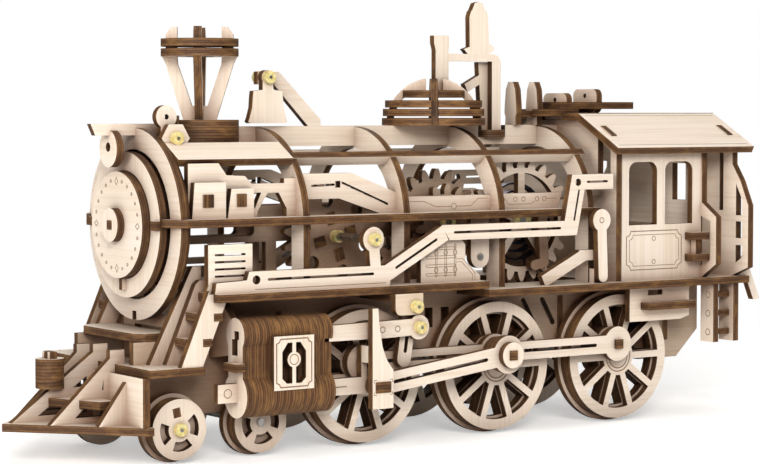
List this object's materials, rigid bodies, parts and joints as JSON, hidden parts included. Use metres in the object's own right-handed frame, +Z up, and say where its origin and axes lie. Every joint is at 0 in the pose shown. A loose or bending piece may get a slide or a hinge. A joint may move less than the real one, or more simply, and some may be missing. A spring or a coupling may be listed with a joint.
{
  "type": "wooden mechanical locomotive puzzle",
  "caption": "Laser-cut plywood steam locomotive puzzle with turning wheels, coupled rods, spring-driven gear train, open boiler, stairs, cab and swinging bell.",
  "frame": {"origin": "middle driving axle centre line on the rail-head plane, at mid width", "axes": "+X towards the cab, +Z up, -Y on the side with the start lever"},
  "size_m": [0.3416, 0.1086, 0.1759],
  "materials": {
    "birch_ply": "satin",
    "dark_edge_ply": "satin",
    "steel": "satin",
    "spring_steel": "satin",
    "wax_cap": "satin"
  },
  "bodies": {
    "chassis": {"main_frames": "birch_ply", "frame_ties": "birch_ply", "gear_frames": "birch_ply", "running_boards": "birch_ply", "boiler_rings": "birch_ply", "boiler_strips": "birch_ply", "spine": "birch_ply", "smokebox_shelves": "birch_ply", "smokebox_rings": "birch_ply", "smokebox_door": "birch_ply", "headlamp": "birch_ply", "side_panels": "birch_ply", "pipe_rails": "birch_ply", "pins_and_caps": "wax_cap", "cylinder_slices": "dark_edge_ply", "cylinder_plates": "birch_ply", "cylinder_saddles": "birch_ply", "pilot_base": "birch_ply", "pilot_ribs": "birch_ply", "front_steps": "birch_ply", "coupler": "birch_ply", "stairs": "birch_ply", "chimney_base": "dark_edge_ply", "chimney_blades": "birch_ply", "chimney_cap": "birch_ply", "bell_bracket": "birch_ply", "dome_tiers": "dark_edge_ply", "dome_ribs": "birch_ply", "whistle_stand": "birch_ply", "whistle": "birch_ply", "safety_valves": "birch_ply", "cab_front_wall": "birch_ply", "cab_side_walls": "birch_ply", "cab_rear_frames": "birch_ply", "cab_roof": "birch_ply", "roof_vent": "birch_ply", "cab_steps": "birch_ply", "rear_posts": "birch_ply", "side_braces": "birch_ply"},
    "wheelset_front": {"wheels_front": "birch_ply", "axle_front": "steel"},
    "wheelset_middle": {"wheels_middle": "birch_ply", "axle_middle": "steel"},
    "wheelset_rear": {"wheels_rear": "birch_ply", "axle_rear": "steel"},
    "bogie_leading": {"bogie_wheels_leading": "birch_ply"},
    "bogie_trailing": {"bogie_wheels_trailing": "birch_ply"},
    "coupling_rods": {"side_rods": "birch_ply"},
    "connecting_rods": {"main_rods": "birch_ply"},
    "crosshead_slides": {"crossheads": "birch_ply"},
    "valve_slides": {"valve_rods": "birch_ply"},
    "radius_links": {"valve_links": "birch_ply"},
    "low_gear": {"gear_lower": "birch_ply"},
    "disc_gear": {"gear_disc": "birch_ply"},
    "second_gear": {"gear_second": "birch_ply"},
    "spring_barrel": {"gear_spring": "birch_ply", "mainspring": "spring_steel"},
    "bell_body": {"bell": "birch_ply"},
    "lever": {"start_lever": "birch_ply"},
    "pawl_body": {"pawl": "birch_ply"}
  },
  "joints": [
    {"name": "middle_wheels_turn", "type": "hinge", "parent": "chassis", "child": "wheelset_middle", "pos_m": [0, 0, 0.026], "axis": [0, 1, 0], "continuous": true},
    {"name": "front_wheels_turn", "type": "hinge", "parent": "chassis", "child": "wheelset_front", "pos_m": [-0.064, 0, 0.026], "axis": [0, 1, 0], "continuous": true},
    {"name": "rear_wheels_turn", "type": "hinge", "parent": "chassis", "child": "wheelset_rear", "pos_m": [0.064, 0, 0.026], "axis": [0, 1, 0], "continuous": true},
    {"name": "leading_bogie_turn", "type": "hinge", "parent": "chassis", "child": "bogie_leading", "pos_m": [-0.1468, 0, 0.0114], "axis": [0, 1, 0], "continuous": true},
    {"name": "trailing_bogie_turn", "type": "hinge", "parent": "chassis", "child": "bogie_trailing", "pos_m": [-0.1118, 0, 0.0114], "axis": [0, 1, 0], "continuous": true},
    {"name": "coupling_rod_pivot", "type": "hinge", "parent": "wheelset_middle", "child": "coupling_rods", "pos_m": [-0.00525, 0, 0.03204], "axis": [0, 1, 0], "continuous": true},
    {"name": "connecting_rod_pivot", "type": "hinge", "parent": "wheelset_middle", "child": "connecting_rods", "pos_m": [-0.00525, 0, 0.03204], "axis": [0, 1, 0], "continuous": true},
    {"name": "crosshead_stroke", "type": "slide", "parent": "chassis", "child": "crosshead_slides", "axis": [1, 0, 0], "range_m": [-0.0032, 0.0127]},
    {"name": "valve_rod_stroke", "type": "slide", "parent": "chassis", "child": "valve_slides", "axis": [1, 0, 0], "range_m": [-0.0015, 0.0015]},
    {"name": "radius_link_swing", "type": "hinge", "parent": "chassis", "child": "radius_links", "pos_m": [-0.05, 0, 0.0534], "axis": [0, 1, 0], "range_deg": [-6, 4]},
    {"name": "low_gear_turn", "type": "hinge", "parent": "chassis", "child": "low_gear", "pos_m": [-0.026, 0, 0.0564], "axis": [0, 1, 0], "continuous": true},
    {"name": "disc_gear_turn", "type": "hinge", "parent": "chassis", "child": "disc_gear", "pos_m": [-0.0657, 0, 0.07963], "axis": [0, 1, 0], "continuous": true},
    {"name": "second_gear_turn", "type": "hinge", "parent": "chassis", "child": "second_gear", "pos_m": [-0.014, 0, 0.08389], "axis": [0, 1, 0], "continuous": true},
    {"name": "spring_barrel_turn", "type": "hinge", "parent": "chassis", "child": "spring_barrel", "pos_m": [0.024, 0, 0.08389], "axis": [0, 1, 0], "continuous": true},
    {"name": "bell_swing", "type": "hinge", "parent": "chassis", "child": "bell_body", "pos_m": [-0.0895, 0, 0.1422], "axis": [0, 1, 0], "range_deg": [-15, 15]},
    {"name": "lever_throw", "type": "hinge", "parent": "chassis", "child": "lever", "pos_m": [0.0481, 0, 0.0608], "axis": [0, 1, 0], "range_deg": [-8, 12]},
    {"name": "pawl_swing", "type": "hinge", "parent": "chassis", "child": "pawl_body", "pos_m": [0.031, 0, 0.0918], "axis": [0, 1, 0], "range_deg": [-8, 8]}
  ],
  "couplings": [
    {"joint": "front_wheels_turn", "follows": "middle_wheels_turn", "ratio": 1},
    {"joint": "rear_wheels_turn", "follows": "middle_wheels_turn", "ratio": 1},
    {"joint": "coupling_rod_pivot", "follows": "middle_wheels_turn", "ratio": -1},
    {"joint": "connecting_rod_pivot", "follows": "middle_wheels_turn", "ratio": -1},
    {"joint": "low_gear_turn", "follows": "middle_wheels_turn", "ratio": -0.66667},
    {"joint": "disc_gear_turn", "follows": "middle_wheels_turn", "ratio": 0.72727},
    {"joint": "second_gear_turn", "follows": "middle_wheels_turn", "ratio": 0.33333},
    {"joint": "spring_barrel_turn", "follows": "middle_wheels_turn", "ratio": -0.19444}
  ]
}
